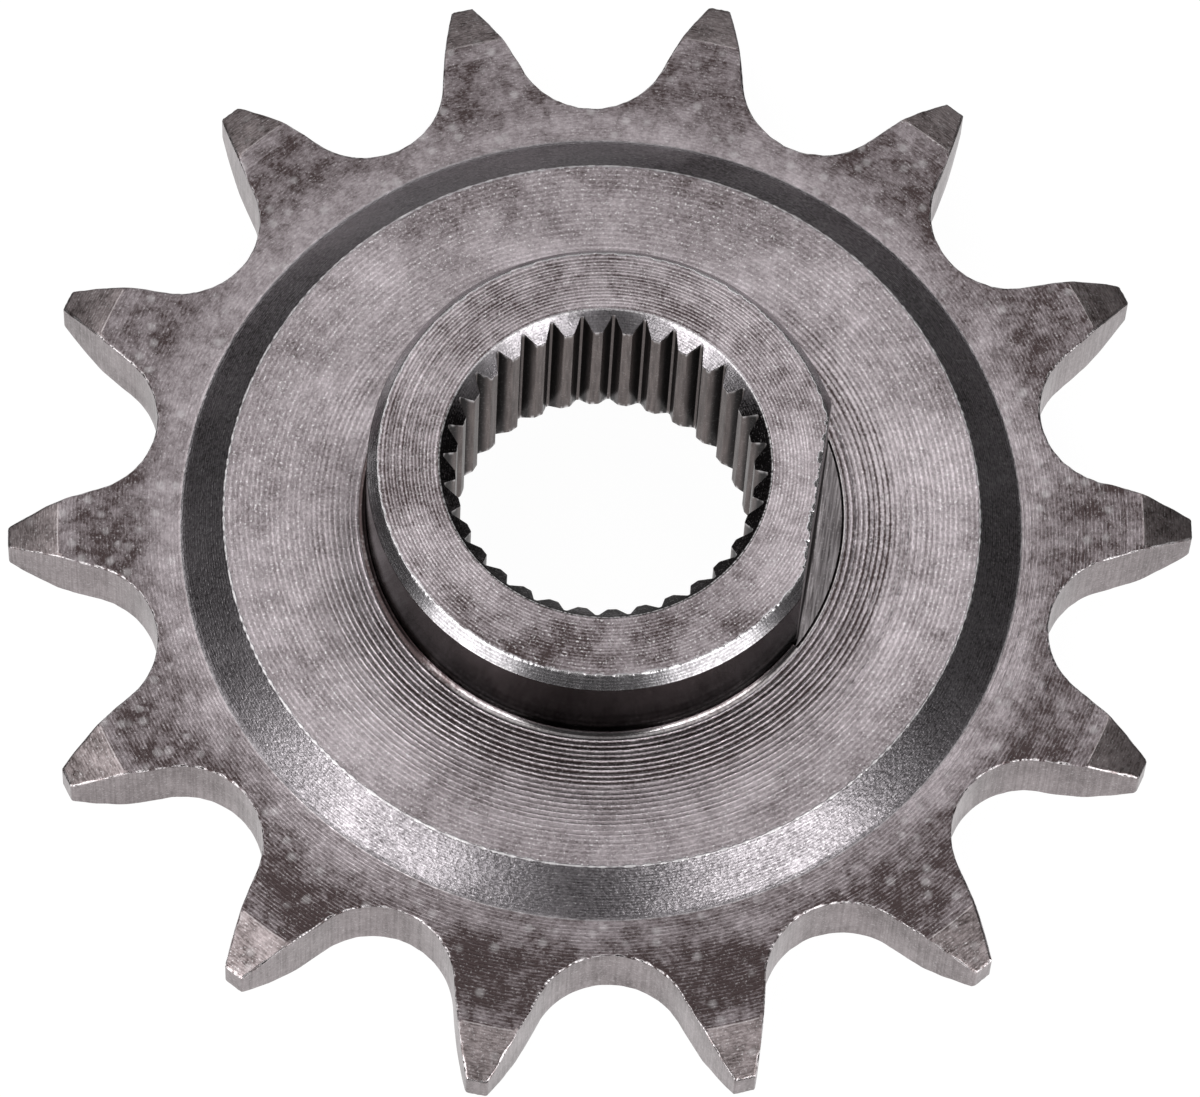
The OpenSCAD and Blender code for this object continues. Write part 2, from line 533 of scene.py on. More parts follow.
@dataclass(frozen=True)
class Boss:
    """The boss with its turned chamfer, its milled flat and the fillet at its foot."""

    radius: float = 15.62
    chamfer_w: float = 0.64
    chamfer_h: float = 1.12
    fillet: float = 0.5
    flat_reach: float = 14.0
    flat_turn: float = -9.7
    floor_step: float = 0.08
    edge: float = 0.12
    chord_edge: float = 2.2
    end_middle_r: float = 13.0
    wall_middle_z: float = 11.0
    flat_foot: float = 0.12
    crescent_rings: tuple[float, float] = (15.66, 15.74)
    fillet_turns: tuple[float, float] = (0.42, 0.2)
    seeds: tuple[int, int] = (81, 82)

    def descend(self, loops: Loops, top: float, foot: float) -> None:
        """Adds the boss from its end face down to the plateau.

        Beyond the flat, every radius is cut back to flat_reach / cos(angle from the flat's direction), and
        what the chamfer loses there sets the height at which its cone meets the flat.

        Args:
            loops: the loops to add to.
            top: height of the end face.
            foot: height of the plateau at the fillet.
        """
        even = loops.even
        away = np.angle(np.exp(1j * (even - math.radians(self.flat_turn))))
        flat_r = self.flat_reach / np.maximum(np.cos(away), 0.2)
        end_r = self.radius - self.chamfer_w
        long_waves, short_waves = (waves(even, self.seeds[0], 14, 110), waves(even, self.seeds[1], 110, 380))
        rough = np.clip(0.5 + 0.35 * long_waves + 0.15 * short_waves, 0.0, 1.0)
        ring_r = np.minimum(end_r, flat_r)
        steep = self.chamfer_h / self.chamfer_w
        cut = flat_r < self.radius
        on_chord = flat_r < end_r
        edge = self.edge * (0.35 + 1.1 * rough) * np.where(on_chord, self.chord_edge, 1.0)
        worn = np.where(on_chord, 0.50 + 0.20 * rough, 0.44 + 0.12 * rough)
        loops.ring(self.end_middle_r, top, Zone.BOSS_END)
        loops.ring(ring_r - edge - 0.02, top, Zone.CHAMFER)
        loops.ring(ring_r - 0.25 * edge, top - 0.25 * edge, Zone.CHAMFER, worn)
        lower_r = np.minimum(self.radius, flat_r)
        start = np.minimum(end_r + edge * 0.6, flat_r)
        start_z = np.minimum(top - (start - end_r) * steep, top - edge)
        loops.ring(start, start_z, np.where(cut & on_chord, Zone.MILLED, Zone.CHAMFER))
        meet_r = np.minimum(self.radius - 0.03, flat_r)
        meet_z = np.minimum(top - (meet_r - end_r) * steep, start_z - 0.03)
        loops.ring(meet_r, meet_z, np.where(cut, Zone.MILLED, Zone.BOSS_WALL), 0.35 * rough)
        wall_zone = np.where(cut, Zone.MILLED, Zone.BOSS_WALL)
        loops.ring(lower_r, meet_z - 0.06, wall_zone, 0.0)
        foot_r = self.radius + self.fillet
        arc_z = foot + self.fillet
        floor = foot + self.floor_step
        loops.ring(lower_r, self.wall_middle_z, wall_zone)
        wall_foot = np.where(cut, floor + self.flat_foot, arc_z)
        loops.ring(lower_r, wall_foot, wall_zone)
        bound_r = foot_r - math.sqrt(self.fillet**2 - (self.fillet - self.floor_step) ** 2)
        inside = flat_r < bound_r
        turns = np.arcsin(np.clip((foot_r - np.array(self.crescent_rings)) / self.fillet, -1.0, 1.0))
        for share, turn in zip((0.12, 0.5), turns):
            arc_r = foot_r - self.fillet * math.sin(turn)
            low = arc_z - self.fillet * math.cos(turn)
            start_r = np.minimum(flat_r, bound_r) + 0.02
            r = np.where(inside, start_r + (bound_r - start_r) * share, arc_r)
            z = np.where(inside, floor, np.maximum(low, floor))
            loops.ring(r, z, np.where(inside, Zone.MILLED, Zone.FILLET))
        # Painted shade: inside the flat, the fillet strips that lead down from the milled floor take the boss
        # wall's dark finish
        loops.ring(bound_r, floor, np.where(inside, Zone.BOSS_WALL, Zone.FILLET))
        for turn, ring_zone in zip(self.fillet_turns, (Zone.BOSS_WALL, Zone.FILLET)):
            r, z = foot_r - self.fillet * math.sin(turn), arc_z - self.fillet * math.cos(turn)
            loops.ring(r, z, np.where(inside, ring_zone, Zone.FILLET))
        loops.ring(foot_r, foot, Zone.PLATEAU)


@dataclass(frozen=True)
class Disc:
    """The plateau with its cone, and the recess in the back."""

    plateau_r: float = 25.05
    plateau_h: float = 2.35
    cone_w: float = 2.8
    dish_depth: float = 0.23
    recess_r: float = 16.0
    recess_depth: float = 1.8
    edge: float = 0.10
    floor: Pairs = ((16.5, 0.0), (18.5, 0.02), (21.0, 0.06), (22.6, 0.10), (23.9, 0.16))
    foot_w: float = 0.30
    foot: Pairs = ((-0.08, 0.105), (0.10, 0.02))
    recess_round: float = 0.15
    seed: int = 91

    def plateau(self, loops: Loops, rim: float) -> None:
        """Adds the plateau from the boss's foot to the rim: a level floor that rises towards its worn edge.

        The floor lists radii with their rise above the boss's foot. The fillet at the cone's foot lists how
        far its points lie from the sharp corner, outwards and upwards.

        Args:
            loops: the loops to add to.
            rim: height of the rim's face.
        """
        top = rim + self.plateau_h
        low = top - self.dish_depth
        rough = np.clip(0.5 + 0.5 * waves(loops.even, self.seed, 30, 260), 0.0, 1.0)
        for r, rise in self.floor:
            loops.ring(r, low + rise, Zone.PLATEAU)
        edge = self.edge * (0.5 + 1.0 * rough)
        steep = self.plateau_h / self.cone_w
        loops.ring(self.plateau_r - edge, top - 0.01, Zone.CONE)
        loops.ring(self.plateau_r + 0.1 * edge, top - 0.25 * edge, Zone.CONE, 0.42 + 0.22 * rough)
        loops.ring(self.plateau_r + edge, top - edge * steep - 0.01, Zone.CONE)
        outer = self.plateau_r + self.cone_w
        (inward, raised), (outward, left) = self.foot
        loops.ring(outer - self.foot_w, rim + self.foot_w * steep, Zone.CONE)
        loops.ring(outer + inward, rim + raised, Zone.CONE)
        # Painted highlight: the wear value paints a pale line along the foot of the cone
        loops.ring(outer + outward, rim + left, Zone.RIM, 0.24 + 0.08 * rough)
        loops.ring(outer + self.foot_w, rim, Zone.RIM)

    def recess(self, loops: Loops) -> None:
        """Adds the recess in the back, from the back face to its floor.

        Args:
            loops: the loops to add to.
        """
        depth = self.recess_depth
        for r, z, zone, worn in (
            (self.recess_r + 0.22, 0.0, Zone.BACK, 0.0),
            (self.recess_r + 0.06, 0.02, Zone.BACK, 0.5),
            (self.recess_r, 0.12, Zone.RECESS, 0.0),
            (self.recess_r, depth - self.recess_round, Zone.RECESS, 0.0),
            (self.recess_r - self.recess_round, depth, Zone.RECESS, 0.0),
        ):
            loops.ring(r, z, zone, worn)


# Shader maths


class Sock:
    """A node's output, wrapped so that numbers can be worked out as Python expressions."""

    def __init__(self, graph: Graph, link: bpy.types.NodeSocket) -> None:
        """Keeps the graph and the socket."""
        self.graph = graph
        self.link = link

    def _math(self, operation: str, *values: object, clamp: bool = False) -> Sock:
        """Adds a Math node on the given values."""
        return self.graph.node(
            "ShaderNodeMath", {"operation": operation, "use_clamp": clamp}, dict(enumerate(values))
        )

    def __add__(self, other: object) -> Sock:
        """Sum."""
        return self._math("ADD", self, other)

    __radd__ = __add__

    def __sub__(self, other: object) -> Sock:
        """Difference."""
        return self._math("SUBTRACT", self, other)

    def __rsub__(self, other: object) -> Sock:
        """Reflected difference."""
        return self._math("SUBTRACT", other, self)

    def __mul__(self, other: object) -> Sock:
        """Product."""
        return self._math("MULTIPLY", self, other)

    __rmul__ = __mul__

    def __truediv__(self, other: object) -> Sock:
        """Quotient."""
        return self._math("DIVIDE", self, other)

    def __pow__(self, other: object) -> Sock:
        """Power."""
        return self._math("POWER", self, other)

    def fraction(self) -> Sock:
        """Fractional part."""
        return self._math("FRACT", self)

    def most(self, other: object) -> Sock:
        """The larger of two values."""
        return self._math("MAXIMUM", self, other)

    def clamped(self) -> Sock:
        """The value held between 0 and 1."""
        return self._math("ADD", self, 0.0, clamp=True)

    def between(self, low: float, high: float) -> Sock:
        """Smooth step from 0 at low to 1 at high; low may be the larger."""
        return self.graph.node(
            "ShaderNodeMapRange",
            {"interpolation_type": "SMOOTHSTEP", "clamp": True},
            {"Value": self, "From Min": low, "From Max": high, "To Min": 0.0, "To Max": 1.0},
        )


class Graph:
    """A material's node tree with the few calls that the finishes need."""

    def __init__(self, tree: bpy.types.NodeTree) -> None:
        """Clears the tree and keeps it."""
        self.tree = tree
        tree.nodes.clear()

    def add(self, kind: str, settings: dict[str, object], inputs: dict[object, object]) -> bpy.types.Node:
        """Adds a node: its settings first, then the values or links of its sockets.

        Args:
            kind: type of the node.
            settings: attributes such as a Math node's operation.
            inputs: socket name or number to a value, a Sock or a socket.

        Returns:
            The node.
        """
        node = self.tree.nodes.new(kind)
        for key, value in settings.items():
            setattr(node, key, value)
        for key, value in inputs.items():
            socket = node.inputs[key]
            if isinstance(value, Sock):
                self.tree.links.new(value.link, socket)
            elif isinstance(value, bpy.types.NodeSocket):
                self.tree.links.new(value, socket)
            else:
                socket.default_value = value
        return node

    def node(
        self, kind: str, settings: dict[str, object], inputs: dict[object, object], output: object = 0
    ) -> Sock:
        """Adds a node and wraps one of its outputs, by name or number; the other values are those of add."""
        return Sock(self, self.add(kind, settings, inputs).outputs[output])

    def mix(self, share: Sock, low: object, high: object) -> Sock:
        """Mixes two colours.

        Args:
            share: share of the second colour, from 0 to 1.
            low: colour or Sock at a share of 0.
            high: colour or Sock at a share of 1.

        Returns:
            The mixed colour.
        """
        node = self.tree.nodes.new("ShaderNodeMix")
        node.data_type = "RGBA"
        for socket, value in zip((node.inputs[0], node.inputs[6], node.inputs[7]), (share, low, high)):
            if isinstance(value, Sock):
                self.tree.links.new(value.link, socket)
            else:
                socket.default_value = (*value, 1.0) if isinstance(value, tuple) else value
        return Sock(self, node.outputs[2])

    def noise(self, where: Sock, scale: float, detail: float = 3.0, rough: float = 0.55) -> Sock:
        """Noise from 0 to 1 of a scale in waves per unit, with finer layers that each fade by rough."""
        return self.node(
            "ShaderNodeTexNoise",
            {"noise_dimensions": "3D"},
            {"Vector": where, "Scale": scale, "Detail": detail, "Roughness": rough},
        )

    def vector(self, x: object, y: object, z: object) -> Sock:
        """Joins three numbers into a vector."""
        return self.node("ShaderNodeCombineXYZ", {}, {0: x, 1: y, 2: z})


@dataclass(frozen=True)
class Place:
    """Where a shaded point lies, in millimetres: the point, its coordinates, its radius and its azimuth.

    The lay is a position for noise that is drawn out along the turning direction.
    """

    graph: Graph
    point: Sock
    x: Sock
    y: Sock
    z: Sock
    radius: Sock
    azimuth: Sock
    lay: Sock

    @classmethod
    def of(cls, graph: Graph) -> Place:
        """Reads Object coordinates and works out the polar ones: the radius is the root of x^2 + y^2.

        Args:
            graph: the material's graph.

        Returns:
            The place.
        """
        raw = graph.node("ShaderNodeTexCoord", {}, {}, "Object")
        point = graph.node("ShaderNodeVectorMath", {"operation": "SCALE"}, {0: raw, "Scale": 1000.0})
        split = graph.add("ShaderNodeSeparateXYZ", {}, {0: point})
        x, y, z = (Sock(graph, split.outputs[k]) for k in range(3))
        radius = (x * x + y * y) ** 0.5
        azimuth = graph.node("ShaderNodeMath", {"operation": "ARCTAN2"}, {0: y, 1: x})
        lay = graph.vector(x / radius * LAY_ROUND, y / radius * LAY_ROUND, radius * LAY_ACROSS)
        return cls(graph, point, x, y, z, radius, azimuth, lay)

    def noise(self, size: float, detail: float = 3.0, rough: float = 0.55) -> Sock:
        """Noise with waves of a size in millimetres; the other values are those of Graph.noise."""
        return self.graph.noise(self.point, 1.0 / size, detail, rough)

    def reach(self, turn: float) -> Sock:
        """How far out the point lies along a direction, in degrees from +X: x cos t + y sin t."""
        a = math.radians(turn)
        return self.x * math.cos(a) + self.y * math.sin(a)


def put(name: str, data: object) -> bpy.types.Object:
    """Makes an object and links it to the scene.

    Args:
        name: name of the object.
        data: its mesh, lamp or camera.

    Returns:
        The object.
    """
    made = bpy.data.objects.new(name, data)
    bpy.context.scene.collection.objects.link(made)
    return made


def blank(name: str) -> tuple[bpy.types.Material, Graph]:
    """Makes a material with an empty node tree.

    Args:
        name: name of the material.

    Returns:
        The material and its graph.
    """
    made = bpy.data.materials.new(name)
    made.use_nodes = True
    return made, Graph(made.node_tree)


# Finishes


@dataclass(frozen=True)
class Steel:
    """A steel finish: colours, mottling, specks and painted glints, turned rings with painted light and
    shade, fine grain and worn edges.

    Tones are shares of the light colour. A side shading is painted shade that takes its share away towards
    one direction, and a negative one adds it there as painted light. Deep is painted shade that darkens the
    grooves between the rings inside deep_r. Names that end in _mm are sizes.
    """

    name: str
    light: Colour = (0.90, 0.81, 0.85)
    dark: Colour = (0.08, 0.059, 0.059)
    bias: float = 0.42
    blotch_mm: float = 5.0
    blotch: float = 0.25
    mottle: float = 0.18
    grit: float = 0.4
    glint: float = 0.5
    spot: float = 0.0
    roughness: float = 0.34
    rough_spread: float = 0.10
    ring_pitch: float = 0.0
    ring_depth: float = 0.0
    # Painted light and shade of the rings: how much lighter the ridges and darker the grooves are
    ring_tone: float = 0.0
    ring_low: float = 0.35
    bold_from: float = 0.0
    bold_to: float = 0.0
    bold_turn: float = -65.0
    bold: float = 1.0
    # Painted shade in the ring grooves inside deep_r
    deep: float = 0.0
    deep_r: float = 20.0
    bead_tone: float = 0.22
    bead_depth: float = 0.003
    # Painted shade towards one direction, or painted light where the share is negative
    side_shading: float = 0.0
    side_shading_from: float = -14.0
    side_shading_to: float = -30.0
    side_shading_turn: float = 90.0
    # Painted sheen: lighter and darker sectors round the axis
    sheen_sweep: float = 0.0
    fade_from: float = 0.0
    fade_to: float = 0.0
    fade: float = 0.0
    band_from: float = 0.0
    band: float = 0.0
    drift_mm: float = 0.25
    drift_waves: float = 1.3
    patch_waves: float = 0.22
    grain_mm: float = 0.12
    grain_depth: float = 0.0015
    mottle_mm: float = 1.1
    grit_mm: float = 0.22
    glint_mm: float = 0.15
    spot_mm: float = 1.05
    chip_mm: float = 0.28
    edge_tint: float = 1.0
    # Colour of the pale spots and of the painted glints
    glint_and_spot_colour: Colour = (0.93, 0.90, 0.91)
    edge_dark: Colour = (0.08, 0.07, 0.07)
    burr_light: Colour = (0.93, 0.90, 0.91)

    def rings(self, at: Place) -> Sock:
        """Turned rings as cusps on a slow spiral, one pitch apart: the square of a saw from -1 to 1.

        Args:
            at: the shaded point.

        Returns:
            0 in a groove and 1 on a ridge.
        """
        across = at.graph.vector(at.radius, 0.0, 0.0)
        drift = (at.graph.noise(across, self.drift_waves, 2.0) - 0.5) * self.drift_mm
        phase = (at.radius + drift) / self.ring_pitch + at.azimuth / (2 * math.pi)
        wave = (phase.fraction() - 0.5) * 2.0
        return wave * wave

    def ring_strength(self, at: Place) -> Sock:
        """How strong the rings are, which changes in patches, from ring to ring and towards the bold side.

        Args:
            at: the shaded point.

        Returns:
            The strength, from 0 to about 1.
        """
        patch = at.graph.noise(at.point, self.patch_waves, 2.0).between(0.32, 0.62)
        across = at.graph.vector(at.radius, 0.0, 0.0)
        lane = at.graph.noise(across, 0.6 / self.ring_pitch, 1.0).between(0.3, 0.7)
        strength = self.ring_low * (0.15 + 0.6 * patch + 0.9 * lane)
        # Partly painted light: towards bold_turn the rings are stronger, in their painted contrast as well as
        # in their bump
        if self.bold_from:
            facing = at.reach(self.bold_turn) / at.radius
            bold = at.radius.between(self.bold_from, self.bold_to) * facing.between(-0.6, 0.7)
            strength = strength + self.bold * bold * (0.55 + 0.7 * lane)
        return strength

    def spots(self, at: Place) -> Sock:
        """Pale round spots with soft edges in about a third of the cells of a Voronoi pattern.

        Args:
            at: the shaded point.

        Returns:
            1 in the middle of a spot and 0 outside the spots.
        """
        inputs = {"Vector": at.point, "Scale": 1.0 / self.spot_mm}
        cells = at.graph.add("ShaderNodeTexVoronoi", {"feature": "F1"}, inputs)
        near = Sock(at.graph, cells.outputs["Distance"]).between(0.42, 0.12)
        return near * Sock(at.graph, cells.outputs["Color"]).between(0.52, 0.66)

    def tone(self, at: Place) -> Sock:
        """Share of the light colour before the rings: a bias, blotches, mottling, grit, painted shade or
        light on one side, painted sheen in sectors and broad changes.

        Args:
            at: the shaded point.

        Returns:
            The share.
        """
        broad = at.noise(self.blotch_mm, 4.0, 0.6).between(0.34, 0.66)
        mottle = at.noise(self.mottle_mm, 3.0, 0.6).between(0.30, 0.70)
        grit = at.noise(self.grit_mm, 2.0, 0.7)
        tone = self.bias + (broad - 0.5) * self.blotch
        tone = tone + (mottle - 0.5) * self.mottle + (grit - 0.5) * self.grit
        # Painted shade on the side that lies along one direction; a negative share paints light there instead
        if self.side_shading:
            reach = at.reach(self.side_shading_turn)
            tone = tone - self.side_shading * reach.between(self.side_shading_from, self.side_shading_to)
        # Painted sheen: broad lighter and darker sectors round the axis, standing in for the highlights of
        # the turned face
        if self.sheen_sweep:
            way = at.graph.vector(at.x / at.radius, at.y / at.radius, at.radius * 0.02)
            tone = tone + (at.graph.noise(way, 1.7, 3.0).between(0.3, 0.7) - 0.5) * self.sheen_sweep
        if self.fade:
            tone = tone - self.fade * at.radius.between(self.fade_from, self.fade_to)
        if self.band:
            tone = tone + self.band * at.radius.between(self.band_from - 0.04, self.band_from + 0.04)
        return tone

    def build(self) -> bpy.types.Material:
        """Builds the material: tone with painted shade and sheen, rings with painted light and shade, spots,
        painted glints and worn edges, with a bump for rings and grain.

        Returns:
            The material.
        """
        made, graph = blank(self.name)
        at = Place.of(graph)
        # Worn edges, and at the cone's foot a painted highlight
        worn = graph.node("ShaderNodeAttribute", {"attribute_name": "wear"}, {}, "Fac")
        tone = self.tone(at)
        bead = graph.noise(at.lay, 1.0, 2.0, 0.6).between(0.30, 0.70)
        tone = tone + (bead - 0.5) * self.bead_tone
        height = at.noise(self.grain_mm, 3.0, 0.6) * self.grain_depth
        height = height + bead * self.bead_depth
        # Painted glints: tiny bright dots, brighter on the ring ridges
        shine = at.noise(self.glint_mm, 1.0, 0.5).between(0.60, 0.72) * self.glint
        if self.ring_pitch:
            ridge = self.rings(at)
            strength = self.ring_strength(at)
            ridge = ridge * (0.65 + 0.7 * bead)
            # Painted light and shade of the rings: lighter ridges, darker grooves
            tone = tone + (ridge - 0.36) * strength * self.ring_tone
            # Painted shade deep in the grooves inside deep_r
            if self.deep:
                groove = ridge.between(0.35, 0.0) - 0.25
                beside = at.radius.between(self.deep_r, self.deep_r - 1.2)
                tone = tone - groove * beside * strength * self.deep
            height = height + ridge * strength * self.ring_depth
            shine = shine * (0.35 + ridge)
        tone = tone.clamped()
        colour = graph.mix(tone, self.dark, self.light)
        if self.spot:
            colour = graph.mix(self.spots(at) * self.spot, colour, self.glint_and_spot_colour)
        colour = graph.mix(shine.clamped(), colour, self.glint_and_spot_colour)
        chips = at.noise(self.chip_mm, 1.0, 0.5).between(0.42, 0.54)
        chips = chips.most(worn.between(0.75, 0.55))
        colour = graph.mix(worn.between(0.12, 0.6), colour, graph.mix(chips, self.edge_dark, self.burr_light))
        rough = self.roughness + (0.5 - tone) * self.rough_spread
        bump = graph.node("ShaderNodeBump", {}, {"Strength": 1.0, "Distance": MM, "Height": height})
        inputs = {"Base Color": colour, "Metallic": 1.0, "Roughness": rough, "Normal": bump}
        inputs["Specular Tint"] = (self.edge_tint, self.edge_tint, self.edge_tint, 1.0)
        shader = graph.add("ShaderNodeBsdfPrincipled", {}, inputs)
        graph.add("ShaderNodeOutputMaterial", {}, {"Surface": shader.outputs[0]})
        return made


@dataclass(frozen=True)
class BroachedSteel(Steel):
    """The spline's finish: mid-toned crests, flanks darkened with painted shade and a thin paler line along
    each root.
    """

    crest_r: float = 9.8
    root_r: float = 10.62

    def tone(self, at: Place) -> Sock:
        """Share of the light colour: high on the crests, fading down the flanks as painted shade, thin along
        the roots.

        Args:
            at: the shaded point.

        Returns:
            The share.
        """
        # Painted shade: the flanks darken from the crests down into the grooves
        crest = at.radius.between(self.crest_r + 0.50, self.crest_r + 0.10)
        root = at.radius.between(self.root_r - 0.05, self.root_r - 0.01)
        streak = at.graph.noise(at.graph.vector(at.x * 5.0, at.y * 5.0, at.z * 0.3), 1.0, 3.0)
        return crest * (0.7 + 1.1 * (streak - 0.5)) + root * 0.55 + (streak - 0.5) * 0.10


@dataclass(frozen=True)
class HobbedSteel(Steel):
    """The tooth walls' finish: a smooth pale face with faint upright marks."""

    mark_mm: float = 0.22
    fine_mm: float = 0.25

    def tone(self, at: Place) -> Sock:
        """Share of the light colour, from noise that is drawn out along the axis.

        Args:
            at: the shaded point.

        Returns:
            The share.
        """
        marks = at.graph.noise(at.graph.vector(at.x, at.y, at.z * 0.12), 1.0 / self.mark_mm, 3.0)
        broad = at.noise(self.blotch_mm).between(0.3, 0.7)
        fine = at.noise(self.fine_mm, 3.0, 0.65)
        tone = self.bias + (marks - 0.5) * 0.6
        return tone + (broad - 0.5) * self.blotch + (fine - 0.5) * self.grit


@dataclass(frozen=True)
class ShadedSteel(Steel):
    """A wall's finish with painted shade: it gets darker towards its foot."""

    foot: float = 8.0
    head: float = 16.5

    def tone(self, at: Place) -> Sock:
        """Share of the light colour, which rises with the height: painted shade towards the foot."""
        broad = at.noise(self.blotch_mm).between(0.3, 0.7)
        # Painted shade: darker towards the foot of the wall
        return at.z.between(self.foot, self.head) + (broad - 0.5) * self.blotch


@dataclass(frozen=True)
class MilledSteel(Steel):
    """The flat's finish: brushed marks that run along the flat."""

    turn: float = -9.7

    def tone(self, at: Place) -> Sock:
        """Share of the light colour, from noise that is drawn out along the flat.

        Args:
            at: the shaded point.

        Returns:
            The share.
        """
        c, s = math.cos(math.radians(self.turn)), math.sin(math.radians(self.turn))
        across, along = at.x * c + at.y * s, at.y * c - at.x * s
        marks = at.graph.noise(at.graph.vector(across * 7.0, along * 0.4, at.z * 7.0), 1.0, 4.0)
        return self.bias + (marks - 0.5) * 2.2


FINISHES: dict[Zone, Steel] = {
    Zone.RIM: Steel(
        "rim_turned", bias=0.36, blotch=0.17, blotch_mm=4.0, mottle=0.20, grit=0.34, spot=0.24,
        # Painted shade: darker towards -y; painted sheen: lighter and darker sectors round the axis
        side_shading=0.10, fade_from=28.5, fade_to=32.0, fade=0.27, band_from=34.9, band=0.11, ring_pitch=0.24,
        ring_depth=0.020, ring_tone=0.18, ring_low=0.16, bold_from=60.0, bold_to=30.0, glint=0.28,
        bead_tone=0.16, sheen_sweep=0.08, burr_light=(0.68, 0.64, 0.65),
    ),
    Zone.BEVEL: Steel(
        "tooth_bevel", bias=0.30, blotch_mm=2.4, blotch=0.2, mottle=0.13, spot=0.16, ring_pitch=0.17,
        ring_depth=0.001, ring_tone=0.08, ring_low=0.8, grit=0.3, dark=(0.06, 0.045, 0.042),
        light=(0.92, 0.80, 0.81), burr_light=(0.68, 0.64, 0.65),
    ),
    Zone.TOOTH_WALL: HobbedSteel(
        "tooth_wall_hobbed", light=(0.385, 0.333, 0.342), roughness=0.3, glint=0.2, blotch=0.3,
        bead_tone=0.2, grit=0.7,
    ),
    Zone.BACK: Steel(
        "back_turned", spot=0.2, mottle=0.2, ring_pitch=0.33, ring_depth=0.016, ring_tone=0.3,
        ring_low=0.75,
    ),
    Zone.RECESS: Steel("recess_turned", bias=0.35, ring_pitch=0.3, ring_depth=0.010, ring_tone=0.3),
    Zone.LEAD_IN: Steel(
        "lead_in_turned", light=(0.85, 0.80, 0.84), dark=(0.03, 0.027, 0.028), bias=0.5, roughness=0.3,
        # Painted shade: the lead-in darkens from y = 6.5 mm down to y = 2.5 mm and stays dark below
        ring_pitch=0.13, ring_depth=0.002, ring_tone=0.25, ring_low=0.7, side_shading=0.5, side_shading_from=6.5,
        side_shading_to=2.5, edge_tint=0.7,
    ),
    Zone.SPLINE: BroachedSteel(
        "spline_broached", light=(0.20, 0.168, 0.162), dark=(0.020, 0.017, 0.017), roughness=0.3,
        glint=0.1, bead_tone=0.0, bead_depth=0.0, edge_tint=0.6,
    ),
    Zone.BOSS_END: Steel(
        "boss_end_turned", bias=0.385, blotch=0.30, blotch_mm=3.0, mottle=0.13, grit=0.5, glint=0.8,
        # Painted shade: darker towards the near edge, below y = -8 mm; painted sheen in sectors round the
        # axis
        ring_pitch=0.23, ring_depth=0.020, ring_tone=0.62, bead_tone=0.14, side_shading=0.16, side_shading_from=-8.0,
        side_shading_to=-12.5, bold=0.72, bold_from=20.0, bold_to=16.0, bold_turn=120.0, sheen_sweep=0.10,
    ),
    Zone.CHAMFER: Steel(
        "boss_chamfer", light=(0.84, 0.81, 0.84), dark=(0.10, 0.09, 0.095), bias=0.55, roughness=0.26,
        # Painted light: the chamfer is lighter on its far side, from y = 8 mm to y = 13 mm and beyond
        mottle=0.1, ring_pitch=0.14, ring_depth=0.003, ring_tone=0.35, ring_low=0.8, side_shading=-0.33,
        side_shading_from=8.0, side_shading_to=13.0, edge_tint=0.7,
    ),
    Zone.BOSS_WALL: ShadedSteel(
        "boss_wall", light=(0.10, 0.087, 0.086), dark=(0.012, 0.010, 0.010), roughness=0.16, glint=0.1,
        bead_tone=0.05, bead_depth=0.001, rough_spread=0.0, edge_tint=0.5,
    ),
    Zone.MILLED: MilledSteel(
        "milled_flat", light=(0.46, 0.425, 0.435), dark=(0.06, 0.052, 0.053), bias=0.45, bead_tone=0.0,
        bead_depth=0.0, glint=0.15,
    ),
    Zone.PLATEAU: Steel(
        "plateau_turned", bias=0.49, blotch=0.22, mottle=0.16, grit=0.45, glint=0.85, spot=0.08,
        ring_pitch=0.35, ring_depth=0.026, ring_tone=0.46, ring_low=0.29, bold_from=26.5, bold_to=17.5,
        # Painted shade: darker on the far side, out along 85 degrees; painted sheen in sectors; painted shade
        # in the ring grooves
        bead_tone=0.17, bold=1.05, fade=0.08, fade_from=22.0, fade_to=24.5, side_shading=0.17, side_shading_from=17.5,
        side_shading_to=21.0, side_shading_turn=85.0, sheen_sweep=0.13, deep=0.34,
    ),
    Zone.CONE: Steel(
        "plateau_cone", light=(0.62, 0.58, 0.61), dark=(0.05, 0.044, 0.047), bias=0.36, roughness=0.32,
        blotch=0.16, mottle=0.08, grit=0.6, glint=0.4, ring_pitch=0.15, ring_depth=0.004, ring_tone=0.3,
        # Painted light: the cone is lighter on its far side, along 108 degrees from +X
        ring_low=0.7, bead_depth=0.011, grain_depth=0.006, side_shading=-0.36, side_shading_from=22.0, side_shading_to=25.5,
        side_shading_turn=108.0,
    ),
    Zone.FILLET: Steel(
        "boss_fillet", light=(0.80, 0.77, 0.78), bias=0.38, roughness=0.14, glint=0.1, mottle=0.1,
        # Painted shade: the fillet darkens on its left side, towards -x
        bead_depth=0.001, side_shading=0.45, side_shading_from=8.0, side_shading_to=13.0, side_shading_turn=180.0,
    ),
}


# The piece and its studio


